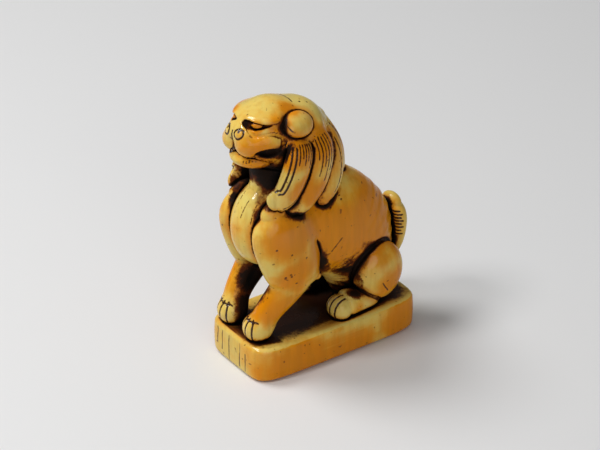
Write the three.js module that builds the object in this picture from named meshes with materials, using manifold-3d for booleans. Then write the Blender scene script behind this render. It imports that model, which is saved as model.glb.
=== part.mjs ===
// A seated lion-dog netsuke: one carved piece, a figure on a block plinth with rounded edges.
// Millimetres, +Z up. The origin is the middle of the plinth's flat underside, the lion faces -Y,
// and its left side is +X.

import * as THREE from 'three';
import { mergeVertices } from 'three/addons/utils/BufferGeometryUtils.js';
import ManifoldModule from 'manifold-3d';

// Driving dimensions, in millimetres
const FIGURE_HEIGHT = 40; // from the plinth's top to the crown
const PLINTH_HEIGHT = 6;
const PLINTH_END_MARGIN = 0.8; // plinth beyond the paws, front and back
const PLINTH_SIDE_MARGIN = 0.95; // plinth beyond the paws, each side
const PLINTH_TOP_EDGE = 0.9; // rounding of the top edge
const PLINTH_FOOT_EDGE = 0.9; // rounding of the bottom edge
const PLINTH_SWELL = 0.15; // how far the walls bow out at half height
const PLINTH_SQUARENESS = 6; // superellipse exponent of the plan
const PLINTH_FACETS = 36;
const SEAT = 0.4; // how deep the toes are sunk into the plinth

// The figure is drawn in fortieths of its own height, so 1 unit is 1 mm at 40 mm.
const UNIT = FIGURE_HEIGHT / 40;
const STANCE_HALF_LENGTH = 14.7 * UNIT;
const STANCE_HALF_WIDTH = 6.7 * UNIT;
const PLINTH_LENGTH = 2 * (STANCE_HALF_LENGTH + PLINTH_END_MARGIN);
const PLINTH_WIDTH = 2 * (STANCE_HALF_WIDTH + PLINTH_SIDE_MARGIN);

const SIDES = [1, -1]; // the lion's left and right
const HEAD_LEAN = 0.14; // the head leans to its right: how far it drops per unit across
const RIGHT_FOOT_STEP = 0.8; // the right forefoot stands further out and forward
const TOE_SETBACK = 0.012; // how far an outer toe falls back, per degree of fan
const LIMB_END_REACH = 0.9; // how far a limb's rounded end passes its last station, in thicknesses
const LIMB_BLUNTNESS = 0.5; // 1 tapers a limb like an ellipse, less fills out its ends

const wasm = await ManifoldModule();
wasm.setup();

// Turns a closed three.js geometry into a solid that can be joined and cut.
function solidOf(geometry) {
  const bare = geometry.clone();
  bare.deleteAttribute('normal');
  bare.deleteAttribute('uv');
  const merged = mergeVertices(bare, 1e-4);
  return new wasm.Manifold(new wasm.Mesh({
    numProp: 3,
    vertProperties: Float32Array.from(merged.attributes.position.array),
    triVerts: Uint32Array.from(merged.index.array),
  }));
}

function geometryOf(solid) {
  const mesh = solid.getMesh();
  const geometry = new THREE.BufferGeometry();
  geometry.setAttribute('position', new THREE.BufferAttribute(mesh.vertProperties, 3));
  geometry.setIndex(new THREE.BufferAttribute(mesh.triVerts, 1));
  geometry.computeVertexNormals();
  return geometry;
}

// Places a solid that is drawn in figure units on top of the plinth.
function onPlinth(geometry) {
  geometry.scale(UNIT, UNIT, UNIT);
  geometry.translate(0, 0, PLINTH_HEIGHT);
  return solidOf(geometry);
}

// A rounded mass: a sphere stretched to its radii, turned about X, Y and Z in degrees, and set in place.
function mass(centre, radii, turn = [0, 0, 0], around = 12, rings = 8) {
  const geometry = new THREE.SphereGeometry(1, around, rings);
  geometry.rotateX(Math.PI / 2);
  geometry.scale(...radii);
  const [x, y, z] = turn.map(THREE.MathUtils.degToRad);
  geometry.applyMatrix4(new THREE.Matrix4().makeRotationFromEuler(new THREE.Euler(x, y, z)));
  geometry.translate(...centre);
  return onPlinth(geometry);
}

// A value of a limb's stations at share t of its path, eased from one station to the next.
function eased(stations, column, t) {
  const last = stations.length - 1;
  const i = Math.min(Math.floor(t * last), last - 1);
  const share = THREE.MathUtils.smoothstep(t * last - i, 0, 1);
  return THREE.MathUtils.lerp(stations[i][column], stations[i + 1][column], share);
}

// A limb or lock of hair: a sphere drawn out along a smooth path through its stations. Each station is
// [x, y, z, half its width, half its thickness], and its thickness points along "out".
function limb(stations, out, around = 10, rings = 10) {
  const path = new THREE.CatmullRomCurve3(stations.map(([x, y, z]) => new THREE.Vector3(x, y, z)));
  const outward = new THREE.Vector3(...out).normalize();
  const geometry = new THREE.SphereGeometry(1, around, rings);
  const position = geometry.attributes.position;
  for (let i = 0; i < position.count; i++) {
    const along = THREE.MathUtils.clamp(-position.getY(i), -1, 1);
    const t = (along + 1) / 2;
    const ring = Math.sqrt(1 - along * along);
    const fullness = Math.pow(ring, LIMB_BLUNTNESS);
    const turn = Math.atan2(position.getZ(i), position.getX(i));
    const halfWidth = eased(stations, 3, t);
    const halfThickness = eased(stations, 4, t);
    const tangent = path.getTangent(t);
    const across = new THREE.Vector3().crossVectors(tangent, outward).normalize();
    const depth = new THREE.Vector3().crossVectors(across, tangent);
    const point = path.getPoint(t);
    point.addScaledVector(across, Math.cos(turn) * fullness * halfWidth);
    point.addScaledVector(depth, -Math.sin(turn) * fullness * halfThickness);
    point.addScaledVector(tangent, (1 - ring) * Math.sign(along) * halfThickness * LIMB_END_REACH);
    position.setXYZ(i, point.x, point.y, point.z);
  }
  return onPlinth(geometry);
}

const mirrored = (centre, side) => [centre[0] * side, ...centre.slice(1)];
const mirroredStations = (stations, side) => stations.map((station) => mirrored(station, side));

// A point of the head on one side, lowered on the right by the head's lean.
function leaning([x, y, z, ...sizes], side) {
  const drop = side > 0 ? 0 : 2 * HEAD_LEAN * x;
  return [x * side, y, z - drop, ...sizes];
}

function joined(solids) {
  return wasm.Manifold.union(solids);
}

// The plinth's plan: a superellipse.
function plinthOutline() {
  const power = 2 / PLINTH_SQUARENESS;
  const superellipse = (half, cosine) => half * Math.sign(cosine) * Math.pow(Math.abs(cosine), power);
  const points = Array.from({ length: PLINTH_FACETS }, (_, i) => {
    const angle = (2 * Math.PI * (i + 0.5)) / PLINTH_FACETS;
    const x = superellipse(PLINTH_WIDTH / 2, Math.cos(angle));
    return new THREE.Vector2(x, superellipse(PLINTH_LENGTH / 2, Math.sin(angle)));
  });
  return new THREE.Shape(points);
}

// The plinth's sections, as [height, how far the outline stands out there].
function plinthSections() {
  const corner = 1 - Math.SQRT1_2;
  return [
    [0, -PLINTH_FOOT_EDGE],
    [corner * PLINTH_FOOT_EDGE, -corner * PLINTH_FOOT_EDGE],
    [PLINTH_FOOT_EDGE, 0],
    [PLINTH_HEIGHT / 2, PLINTH_SWELL],
    [PLINTH_HEIGHT - PLINTH_TOP_EDGE, 0],
    [PLINTH_HEIGHT - corner * PLINTH_TOP_EDGE, -corner * PLINTH_TOP_EDGE],
    [PLINTH_HEIGHT, -PLINTH_TOP_EDGE],
  ];
}

// The plinth: its plan drawn up through the sections, so that top and bottom edges are rounded.
function plinth() {
  const sections = plinthSections();
  const steps = sections.length - 1;
  const geometry = new THREE.ExtrudeGeometry(plinthOutline(), { depth: 1, steps, bevelEnabled: false });
  const position = geometry.attributes.position;
  for (let i = 0; i < position.count; i++) {
    const [height, standOut] = sections[Math.round(position.getZ(i) * steps)];
    const x = position.getX(i) * (1 + (2 * standOut) / PLINTH_WIDTH);
    const y = position.getY(i) * (1 + (2 * standOut) / PLINTH_LENGTH);
    position.setXYZ(i, x, y, height);
  }
  return solidOf(geometry);
}

// The torso, from the shoulders down to the rump, with the breast in front.
function torso() {
  return [
    limb([
      [0, -5.8, 24.0, 4.6, 4.6],
      [0, -3.4, 19.2, 5.6, 7.8],
      [0, 1.0, 15.8, 6.0, 9.2],
      [0, 5.6, 11.6, 5.3, 8.6],
      [0, 7.8, 6.4, 4.8, 6.6],
      [0, 8.2, 0.6, 4.4, 5.6],
    ], [0, 1, 0.4], 16, 11),
    mass([0, -9.4, 18.6], [4.7, 5.6, 7.2], [-6, 0, 0], 16, 10),
    mass([0, -6.6, 27.0], [4.4, 4.8, 5.6], [0, 0, 0], 12, 6),
  ];
}

const footStep = (side) => (side > 0 ? 0 : RIGHT_FOOT_STEP / UNIT);

function foreleg(side) {
  const outward = [side, 0, 0];
  const step = footStep(side);
  return [
    limb(mirroredStations([
      [4.3, -10.4, 22.4, 3.7, 2.2],
      [4.5, -9.8, 19.4, 4.9, 2.7],
      [4.7, -8.6, 15.4, 5.1, 2.9],
      [4.8, -7.2, 11.6, 4.8, 2.5],
      [4.8, -6.6, 9.4, 3.6, 2.0],
    ], side), outward, 12, 9),
    limb(mirroredStations([
      [4.75, -6.6, 10.6, 3.6, 2.2],
      [4.3 + 0.6 * step, -9.0 - 0.2 * step, 7.6, 2.9, 2.0],
      [3.6 + step, -11.3 - 0.3 * step, 4.6, 2.3, 1.9],
      [3.1 + step, -12.4 - 0.4 * step, 2.0, 2.2, 1.9],
    ], side), outward, 10, 8),
    limb(mirroredStations([
      [4.7, -6.4, 11.4, 2.6, 2.1],
      [4.8, -4.2, 9.9, 2.0, 1.7],
      [4.9, -2.6, 8.9, 1.2, 1.1],
    ], side), outward, 8, 6),
  ];
}

// A foot: toes set side by side, fanned about a point behind them.
function toes(side, [x, y], spacing, fan, size) {
  return [-1.5, -0.5, 0.5, 1.5].map((place) => {
    const toe = [x * side + place * spacing, y + fan * TOE_SETBACK * place * place, size[2] - SEAT / UNIT];
    return mass(toe, size, [0, 0, place * fan], 7, 5);
  });
}

function forepaw(side) {
  const step = footStep(side);
  return [
    mass(mirrored([2.9 + step, -12.7 - 0.4 * step, 2.1], side), [2.45, 2.45, 2.3], [0, 0, 0], 12, 7),
    ...toes(side, [2.9 + step, -13.4 - 0.4 * step], 1.05, 24, [0.8, 1.1, 1.6]),
  ];
}

function hindleg(side) {
  return [
    mass(mirrored([4.6, 8.9, 5.6], side), [2.9, 4.5, 5.2], [0, 0, 0], 14, 9),
    limb(mirroredStations([
      [4.8, 8.4, 1.2, 1.7, 1.6],
      [4.9, 5.4, 1.6, 2.0, 1.9],
      [5.0, 3.2, 2.0, 2.2, 2.2],
      [5.0, 1.8, 1.9, 2.2, 2.1],
    ], side), [0, 0, 1], 12, 8),
    ...toes(side, [5.0, 0.6], 1.05, 20, [0.75, 1.3, 1.9]),
  ];
}

// The head without its hair: skull, brow ridges, cheeks, muzzle and jaw.
function head() {
  return [
    mass([0, -8.8, 34.5], [5.2, 5.8, 5.5], [0, 0, 0], 16, 10),
    mass([0, -11.0, 35.2], [3.9, 3.7, 3.5], [0, 0, 0], 12, 8),
    mass([0, -10.7, 31.4], [3.9, 4.4, 1.9], [0, 0, 0], 12, 7),
    mass([0, -12.2, 35.7], [2.6, 2.9, 2.6], [0, 0, 0], 10, 7),
    ...SIDES.flatMap((side) => [
      mass(leaning([2.4, -11.7, 38.3], side), [1.6, 3.2, 0.9], [0, 0, -41 * side], 10, 6),
      mass(leaning([3.3, -10.2, 34.7], side), [2.0, 3.2, 2.2], [0, 0, 0], 10, 7),
      mass(leaning([1.7, -12.8, 34.3], side), [2.3, 2.7, 2.2], [0, 0, 0], 12, 7),
      mass(leaning([0.9, -13.6, 36.0], side), [1.5, 1.75, 1.2], [0, 0, 0], 8, 6),
    ]),
  ];
}

function faceCuts() {
  return SIDES.flatMap((side) => [
    limb([
      [-0.2, -16.2, 32.4, 0.6, 0.35],
      [2.4, -15.4, 32.1, 0.6, 0.35],
      [4.2, -12.8, 33.1, 0.9, 0.45],
      [4.9, -10.8, 33.2, 1.0, 0.9],
    ].map((station) => leaning(station, side)), [0, 0, 1], 6, 8),
    mass(leaning([2.9, -12.9, 37.3], side), [0.9, 2.0, 0.55], [0, 0, -41 * side], 10, 6),
  ]);
}

function faceStuds(side) {
  return [
    mass(leaning([3.5, -11.6, 33.0], side), [0.7, 0.7, 0.65], [0, 0, 0], 8, 6),
    mass(leaning([2.5, -12.5, 37.25], side), [0.8, 1.1, 0.5], [0, 0, -41 * side], 8, 6),
  ];
}

function ear(side) {
  return mass(leaning([4.4, -6.3, 36.6], side), [1.2, 2.95, 2.15], [0, -44 * side, 12 * side], 12, 7);
}

// The mane: a cap over the skull, three locks down each side and one down the back.
function mane(side) {
  const lockPaths = [
    [[5.2, -6.6, 36.0, 2.2, 1.4], [5.8, -6.9, 32.2, 2.5, 1.5], [5.9, -7.9, 28.8, 2.6, 1.5],
      [5.8, -9.6, 26.0, 2.4, 1.4], [5.4, -11.4, 25.3, 2.3, 1.2]],
    [[4.6, -3.4, 35.2, 2.3, 1.2], [5.4, -2.9, 31.2, 2.6, 1.4], [5.6, -4.0, 27.2, 2.7, 1.5],
      [5.6, -6.2, 24.2, 2.4, 1.4], [5.5, -8.2, 23.2, 2.1, 1.1]],
    [[2.9, -0.6, 34.0, 2.2, 1.1], [3.9, 0.2, 29.4, 2.3, 1.2], [4.5, -0.2, 25.6, 2.2, 1.3],
      [5.0, -2.0, 22.4, 1.9, 1.1]],
  ];
  const leanPaths = lockPaths.map((path) => path.map((station) => leaning(station, side)));
  return leanPaths.map((path) => limb(path, [side, 0.15, 0.1], 8, 7));
}

function maneCap() {
  const backLock = [[0, 0.6, 34.2, 2.2, 1.1], [0, 2.8, 29.5, 2.8, 1.2], [0, 3.6, 25.6, 2.4, 1.3],
    [0, 4.2, 22.6, 1.4, 1.1]];
  return [
    mass([0, -5.6, 33.0], [5.6, 6.7, 5.9], [0, 0, 0], 16, 10),
    ...SIDES.map((side) => mass(leaning([3.8, -5.6, 34.6], side), [1.5, 2.2, 2.0], [0, 0, 0], 8, 6)),
    mass([0, -3.0, 28.4], [5.6, 6.6, 6.6], [0, 0, 0], 12, 8),
    limb(backLock, [0, 1, 0], 8, 8),
  ];
}

// The tail: a broad tuft laid up the rump, parted into locks round its top.
function tail() {
  const tuft = limb([
    [0, 13.4, 3.8, 1.8, 1.3],
    [0, 14.7, 7.6, 2.9, 1.7],
    [0, 15.0, 11.2, 3.4, 1.8],
    [0, 15.0, 14.0, 3.0, 1.7],
  ], [0, 1, 0], 12, 9);
  const partings = [-1.5, -0.5, 0.5, 1.5].map((place) => limb([
    [0.7 * place, 17.0, 8.4, 0.1, 0.4],
    [1.4 * place, 17.0, 12.2, 0.35, 0.7],
    [2.1 * place, 15.3, 16.4 - 0.9 * place * place, 0.35, 1.9],
  ], [0, 1, 0.2], 6, 6));
  return tuft.subtract(joined(partings));
}

function netsuke() {
  const figure = joined([
    ...torso(),
    ...SIDES.flatMap((side) => [...foreleg(side), ...forepaw(side), ...hindleg(side)]),
    ...head(),
    ...maneCap(),
    ...SIDES.flatMap(mane),
    ...SIDES.map(ear),
    tail(),
  ]).subtract(joined(faceCuts())).add(joined(SIDES.flatMap(faceStuds)));
  return joined([plinth(), figure]);
}

const ivory = new THREE.MeshStandardMaterial({ color: 0xd0a04c, roughness: 0.35, metalness: 0 });

const model = new THREE.Group();
const piece = new THREE.Mesh(geometryOf(netsuke()), ivory);
piece.name = 'netsuke';
model.add(piece);

export default model;
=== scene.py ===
"""A carved ivory netsuke: a seated lion-dog with a long mane, on an oblong plinth.

The lion faces -Y and its left side is +X. Carving coordinates are figure units (fortieths of the
figure's height) above the plinth's top; sizes in millimetres follow from the frame's box.
"""

import math

import bpy
import numpy as np
from mathutils import Matrix, Vector


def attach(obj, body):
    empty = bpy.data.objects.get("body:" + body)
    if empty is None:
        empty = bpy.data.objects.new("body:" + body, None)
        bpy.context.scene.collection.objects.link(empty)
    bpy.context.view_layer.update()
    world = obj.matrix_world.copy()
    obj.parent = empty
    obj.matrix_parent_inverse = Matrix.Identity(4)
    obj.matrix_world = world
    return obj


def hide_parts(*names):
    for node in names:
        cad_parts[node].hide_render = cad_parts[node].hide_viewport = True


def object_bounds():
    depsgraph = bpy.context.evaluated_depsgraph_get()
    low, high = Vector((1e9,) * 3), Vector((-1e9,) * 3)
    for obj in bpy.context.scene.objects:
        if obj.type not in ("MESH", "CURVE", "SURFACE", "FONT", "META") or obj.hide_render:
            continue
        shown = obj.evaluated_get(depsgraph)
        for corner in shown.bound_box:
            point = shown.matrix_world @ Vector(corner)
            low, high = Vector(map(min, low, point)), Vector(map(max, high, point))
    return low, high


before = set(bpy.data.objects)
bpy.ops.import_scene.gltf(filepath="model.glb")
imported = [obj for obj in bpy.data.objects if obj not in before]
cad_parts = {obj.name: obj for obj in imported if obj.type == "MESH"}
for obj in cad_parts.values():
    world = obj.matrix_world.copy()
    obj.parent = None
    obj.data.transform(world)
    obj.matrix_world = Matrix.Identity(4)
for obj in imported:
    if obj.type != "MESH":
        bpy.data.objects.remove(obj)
cad_low, cad_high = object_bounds()

# Sizes in millimetres
MM = 1000.0
BOX_LOW = np.array(cad_low) * MM
BOX_HIGH = np.array(cad_high) * MM
PLINTH_HEIGHT = 6.0
PLINTH_TOP_EDGE = 0.75
PLINTH_FOOT_EDGE = 0.9
PLINTH_SQUARENESS = 6.5
PLINTH_SWELL = 0.12
PLINTH_SIDE_GAP = 0.16
PLINTH_END_GAP = 0.14
PLINTH_HALF_WIDTH = BOX_HIGH[0] - PLINTH_SIDE_GAP
PLINTH_HALF_LENGTH = -BOX_LOW[1] - PLINTH_END_GAP
UNITS_HIGH = 40.0
UNIT = (BOX_HIGH[2] - PLINTH_HEIGHT) / UNITS_HIGH

# The distance field and its mesh, in millimetres
VOXEL = 0.18
FIELD_MARGIN = 3 * VOXEL
UPDATE_MARGIN = 1.3
FAR = 3.0
SAFE_INSET = 0.01
SETTLING = 0.08
TRIANGLE_BUDGET = 190000

# Radii of the creases and the engraved lines, in millimetres
CREASE = 0.24
JAW_CREASE = 0.15
MUZZLE_CREASE = 0.12
BEAD_CREASE = 0.1
FOOTING_CREASE = 0.15
HAIR_LINE = 0.08
EDGE_LINE = 0.13
MOUTH_LINE = 0.24
NOSTRIL_LINE = 0.12
NOSE_CUT = 0.13
TOE_CLEFT = 0.12
CLAW_NICK = 0.09
LIP_STROKE = 0.05
TAIL_STROKE = 0.11
BODY_LINE = 0.035
FINE_LINE = 0.07
PIT = 0.12
LINE_SOFTNESS = 0.06
LINE_REACH = 0.6

# How limbs and locks are rounded
LIMB_TAPER = 0.3
LIMB_END_REACH = 0.9
LIMB_SAMPLES = 22

# How the two sides differ, in figure units
HEAD_LEAN = 0.14
RIGHT_FOOT_STEP = 0.8
SIDES = (1, -1)


# Places

def figure(point):
    """A point in figure units, as millimetres above the floor."""
    x, y, z = point[:3]
    return np.array([x * UNIT, y * UNIT, z * UNIT + PLINTH_HEIGHT])


def mirrored(point, side):
    return (point[0] * side, *point[1:])


def leaning(point, side):
    """A point of the head on one side, lowered on the right by the head's lean."""
    drop = 0 if side > 0 else 2 * HEAD_LEAN * point[0]
    return (point[0] * side, point[1], point[2] - drop, *point[3:])


def mirrored_all(points, side):
    return [mirrored(point, side) for point in points]


def leaning_all(points, side):
    return [leaning(point, side) for point in points]


# Distances to forms

class Form:
    """A closed form: the box that holds it, and its distance function."""

    def __init__(self, low, high, distance):
        self.low = np.asarray(low, float)
        self.high = np.asarray(high, float)
        self.distance = distance


def soft_least(a, b, softness):
    softness = np.maximum(softness, 1e-3)
    overlap = np.maximum(softness - np.abs(a - b), 0) / softness
    return np.minimum(a, b) - overlap * overlap * softness / 4


def soft_most(a, b, softness):
    return -soft_least(-a, -b, softness)


def ellipse_distance(scaled, scaled_twice):
    near = np.sqrt((scaled * scaled).sum(-1))
    slope = np.sqrt((scaled_twice * scaled_twice).sum(-1))
    return near * (near - 1) / np.maximum(slope, 1e-6)


def turned(turn):
    """Rotation about Z, then Y, then X, in degrees."""
    x, y, z = (math.radians(angle) for angle in turn)
    about_x = Matrix.Rotation(x, 3, "X")
    about_y = Matrix.Rotation(y, 3, "Y")
    about_z = Matrix.Rotation(z, 3, "Z")
    return np.array(about_x @ about_y @ about_z)


def ball(centre, radii, turn=(0, 0, 0)):
    """A rounded mass: an ellipsoid."""
    middle = figure(centre)
    radii = np.asarray(radii, float) * UNIT
    axes = turned(turn)
    reach = np.sqrt(((axes * radii) ** 2).sum(1))

    def distance(points):
        local = (points - middle) @ axes
        return ellipse_distance(local / radii, local / radii ** 2)

    return Form(middle - reach, middle + reach, distance)


def smooth_path(stations, count):
    """Points of a Catmull-Rom curve through the stations, with every column eased the same way."""
    stations = np.asarray(stations, float)
    padded = np.vstack([2 * stations[0] - stations[1], stations, 2 * stations[-1] - stations[-2]])
    places = np.linspace(0, len(stations) - 1, count)
    first = np.minimum(places.astype(int), len(stations) - 2)
    t = (places - first)[:, None]
    a, b, c, d = (padded[first + k] for k in range(4))
    bend = 2 * a - 5 * b + 4 * c - d
    twist = 3 * b - a - 3 * c + d
    return 0.5 * (2 * b + (c - a) * t + bend * t ** 2 + twist * t ** 3)


class Strand:
    """The spine of a limb or lock: its path, its cross directions and its half sizes."""

    def __init__(self, stations, out):
        rows = smooth_path([(*figure(s), s[3] * UNIT, s[4] * UNIT) for s in stations], LIMB_SAMPLES)
        self.spine = rows[:, :3]
        fullness = 1 - LIMB_TAPER * np.linspace(-1, 1, LIMB_SAMPLES) ** 6
        self.width = rows[:, 3] * fullness
        self.depth = rows[:, 4] * fullness
        self.end = rows[:, 4] * LIMB_END_REACH
        tangent = np.gradient(self.spine, axis=0)
        self.tangent = tangent / np.linalg.norm(tangent, axis=1)[:, None]
        across = np.cross(self.tangent, np.asarray(out, float))
        self.across = across / np.linalg.norm(across, axis=1)[:, None]
        self.outward = np.cross(self.across, self.tangent)

    def at(self, values, place):
        """The values at places counted in samples along the spine."""
        first = np.minimum(place.astype(int), len(values) - 2)
        share = place - first
        if values.ndim == 2:
            share = share[..., None]
        return values[first] * (1 - share) + values[first + 1] * share

    def nearest(self, points):
        """The place along the spine that is nearest to each point."""
        best = np.full(points.shape[:-1], np.inf)
        place = np.zeros(points.shape[:-1])
        for i in range(len(self.spine) - 1):
            step = self.spine[i + 1] - self.spine[i]
            gap = points - self.spine[i]
            share = np.clip(gap @ step / (step @ step), 0, 1)
            gap = gap - share[..., None] * step
            reach = (gap * gap).sum(-1)
            closer = reach < best
            best = np.where(closer, reach, best)
            place = np.where(closer, i + share, place)
        return place

    def distance(self, points):
        place = self.nearest(points)
        gap = points - self.at(self.spine, place)
        local = np.stack([
            (gap * self.at(self.across, place)).sum(-1),
            (gap * self.at(self.outward, place)).sum(-1),
            (gap * self.at(self.tangent, place)).sum(-1),
        ], -1)
        sizes = np.stack([self.at(v, place) for v in (self.width, self.depth, self.end)], -1)
        return ellipse_distance(local / sizes, local / sizes ** 2)

    def form(self):
        reach = np.maximum(self.width, self.depth)[:, None] + self.end.max() * 0.5
        return Form((self.spine - reach).min(0), (self.spine + reach).max(0), self.distance)

    def on_surface(self, lateral, start, stop, count=14):
        """A line on the outer surface: its share of the half width, and its ends' shares of the length."""
        place = np.linspace(start, stop, count) * (len(self.spine) - 1)
        return self.offset(place, lateral, np.sqrt(1 - lateral ** 2))

    def around(self, place, start, stop, side, count=10):
        """A line round one edge of the section at a place: angles from the edge, in degrees."""
        place = np.full(count, place * (len(self.spine) - 1))
        angles = np.radians(np.linspace(start, stop, count))
        return self.offset(place, side * np.cos(angles), np.sin(angles))

    def offset(self, place, lateral, rise):
        """Points beside the spine, by shares of the half width and of the half depth."""
        across = self.at(self.across, place) * (self.at(self.width, place) * lateral)[:, None]
        out = self.at(self.outward, place) * (self.at(self.depth, place) * rise)[:, None]
        return self.at(self.spine, place) + across + out


def limb(stations, out):
    return Strand(stations, out).form()


def together(forms, softness):
    """Several forms melted into one."""
    def distance(points):
        result = forms[0].distance(points)
        for form in forms[1:]:
            result = soft_least(result, form.distance(points), softness)
        return result

    low = np.min([form.low for form in forms], 0)
    high = np.max([form.high for form in forms], 0)
    return Form(low, high, distance)


def cord(points, radius):
    """A thin round line through points in millimetres."""
    points = np.asarray(points, float)

    def distance(where):
        best = np.full(where.shape[:-1], np.inf)
        for a, b in zip(points[:-1], points[1:]):
            step = b - a
            gap = where - a
            share = np.clip(gap @ step / max(step @ step, 1e-12), 0, 1)
            gap = gap - share[..., None] * step
            best = np.minimum(best, (gap * gap).sum(-1))
        return np.sqrt(best) - radius

    return Form(points.min(0) - radius, points.max(0) + radius, distance)


def plinth_wall(points, swell=0.0):
    """How far points lie outside the plinth's plan."""
    size = np.array([PLINTH_HALF_WIDTH, PLINTH_HALF_LENGTH])
    power = PLINTH_SQUARENESS
    plan = np.abs(points[..., :2]) / (size + np.asarray(swell)[..., None])
    reach = np.maximum((plan ** power).sum(-1) ** (1 / power), 1e-3)
    slope = (plan / reach[..., None]) ** (power - 1) / size
    return (reach - 1) / np.maximum(np.sqrt((slope ** 2).sum(-1)), 1 / size[1])


def plinth():
    middle = PLINTH_HEIGHT / 2

    def distance(points):
        height = np.abs(points[..., 2] - middle)
        swell = PLINTH_SWELL * (1 - np.minimum(height / middle, 1) ** 2)
        edge = np.where(points[..., 2] > middle, PLINTH_TOP_EDGE, PLINTH_FOOT_EDGE)
        a = plinth_wall(points, swell) + edge
        b = height - middle + edge
        outside = np.sqrt(np.maximum(a, 0) ** 2 + np.maximum(b, 0) ** 2)
        return outside + np.minimum(np.maximum(a, b), 0) - edge

    low = (-PLINTH_HALF_WIDTH, -PLINTH_HALF_LENGTH, 0)
    return Form(low, (PLINTH_HALF_WIDTH, PLINTH_HALF_LENGTH, PLINTH_HEIGHT), distance)


# The body and legs

def body():
    spine = limb([
        (0, -5.8, 24.0, 4.6, 4.6),
        (0, -3.4, 19.2, 5.6, 7.8),
        (0, 1.0, 15.8, 6.0, 9.2),
        (0, 5.6, 11.6, 5.3, 8.6),
        (0, 7.8, 6.4, 4.8, 6.6),
        (0, 8.2, 0.6, 4.4, 5.6),
    ], (0, 1, 0.4))
    breast = ball((0, -9.4, 18.6), (4.7, 5.6, 7.2), (-6, 0, 0))
    neck = ball((0, -6.6, 27.0), (4.4, 4.8, 5.6))
    return together([spine, breast, neck], 1.0)


def foot_step(side):
    return 0 if side > 0 else RIGHT_FOOT_STEP


def foreleg(side):
    outward = (side, 0, 0)
    step = foot_step(side)
    upper_arm = limb(mirrored_all([
        (4.3, -10.4, 22.4, 3.7, 2.2),
        (4.5, -9.8, 19.4, 4.9, 2.7),
        (4.7, -8.6, 15.4, 5.1, 2.9),
        (4.8, -7.2, 11.6, 4.8, 2.5),
        (4.8, -6.6, 9.4, 3.6, 2.0),
    ], side), outward)
    forearm = limb(mirrored_all([
        (4.75, -6.6, 10.6, 3.6, 2.2),
        (4.3 + 0.6 * step, -9.0 - 0.2 * step, 7.6, 2.9, 2.0),
        (3.6 + step, -11.3 - 0.3 * step, 4.6, 2.3, 1.9),
        (3.1 + step, -12.4 - 0.4 * step, 2.0, 2.2, 1.9),
    ], side), outward)
    elbow = limb(mirrored_all([
        (4.7, -6.4, 11.4, 2.6, 2.1),
        (4.8, -4.4, 10.1, 2.0, 1.7),
        (4.9, -3.3, 9.3, 1.3, 1.2),
    ], side), outward)
    paw = ball(mirrored(paw_centre(side), side), (2.45, 2.45, 2.3))
    return together([upper_arm, forearm, elbow, paw], 0.9)


def paw_centre(side):
    step = foot_step(side)
    return (2.9 + step, -12.8 - 0.4 * step, 1.95)


def hind_foot(side):
    foot = limb(mirrored_all([
        (4.8, 8.4, 1.2, 1.7, 1.6),
        (4.9, 5.4, 1.6, 2.0, 1.9),
        (5.0, 3.2, 1.9, 2.2, 2.2),
        (5.0, 2.2, 1.8, 2.2, 2.1),
    ], side), (0, 0, 1))
    toes = ball(mirrored((5.0, 1.3, 1.5), side), (2.25, 1.95, 2.05))
    return together([foot, toes], 0.6)


def haunch(side):
    return ball(mirrored((4.6, 8.9, 5.6), side), (2.95, 4.5, 5.2))


# The head

def skull():
    temples = [ball(leaning((3.8, -5.6, 34.6), side), (1.5, 2.2, 2.0)) for side in SIDES]
    return together([
        ball((0, -8.8, 34.5), (5.2, 5.8, 5.48)),
        ball((0, -11.0, 35.2), (3.9, 3.7, 3.5)),
        ball((0, -5.6, 33.0), (5.6, 6.7, 5.9)),
        ball((0, -3.0, 28.4), (5.6, 6.6, 6.6)),
        *temples,
    ], 0.9)


def jaw():
    return ball((0, -10.7, 31.3), (3.9, 4.4, 1.9))


def muzzle():
    lobes = [together([
        ball(leaning((3.3, -10.2, 34.7), side), (2.0, 3.2, 2.2)),
        ball(leaning((1.7, -12.8, 34.3), side), (2.3, 2.7, 2.25)),
        ball(leaning((0.9, -13.6, 36.0), side), (1.5, 1.75, 1.2)),
    ], 1.2) for side in SIDES]
    bridge = ball((0, -12.2, 35.7), (2.6, 2.9, 2.6))
    return together([together(lobes, 0.15), bridge], 0.6)


def brow(side):
    return ball(leaning((2.6, -11.3, 38.3), side), (1.4, 2.5, 0.6), (0, 0, -41 * side))


def ear(side):
    return ball(leaning((4.4, -6.3, 36.6), side), (1.5, 2.85, 2.15), (0, -44 * side, 12 * side))


def eye_hollow(side):
    return limb(leaning_all([
        (0.9, -14.1, 38.0, 0.2, 0.4),
        (1.6, -13.7, 37.8, 0.5, 0.65),
        (2.5, -13.0, 37.55, 0.68, 0.8),
        (3.3, -12.1, 37.55, 0.5, 0.65),
        (4.0, -11.1, 37.7, 0.22, 0.35),
    ], side), (side * 0.7, -0.7, 0.2))


def eyeball(side):
    return ball(leaning((2.55, -12.45, 37.6), side), (0.7, 0.9, 0.5), (0, 0, -41 * side))


def fang(side):
    return ball(leaning((4.0, -12.2, 33.25), side), (0.6, 0.6, 0.6))


def fang_pocket(side):
    return ball(leaning((4.35, -11.8, 33.3), side), (1.3, 2.0, 1.05), (0, 0, -35 * side))


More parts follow.
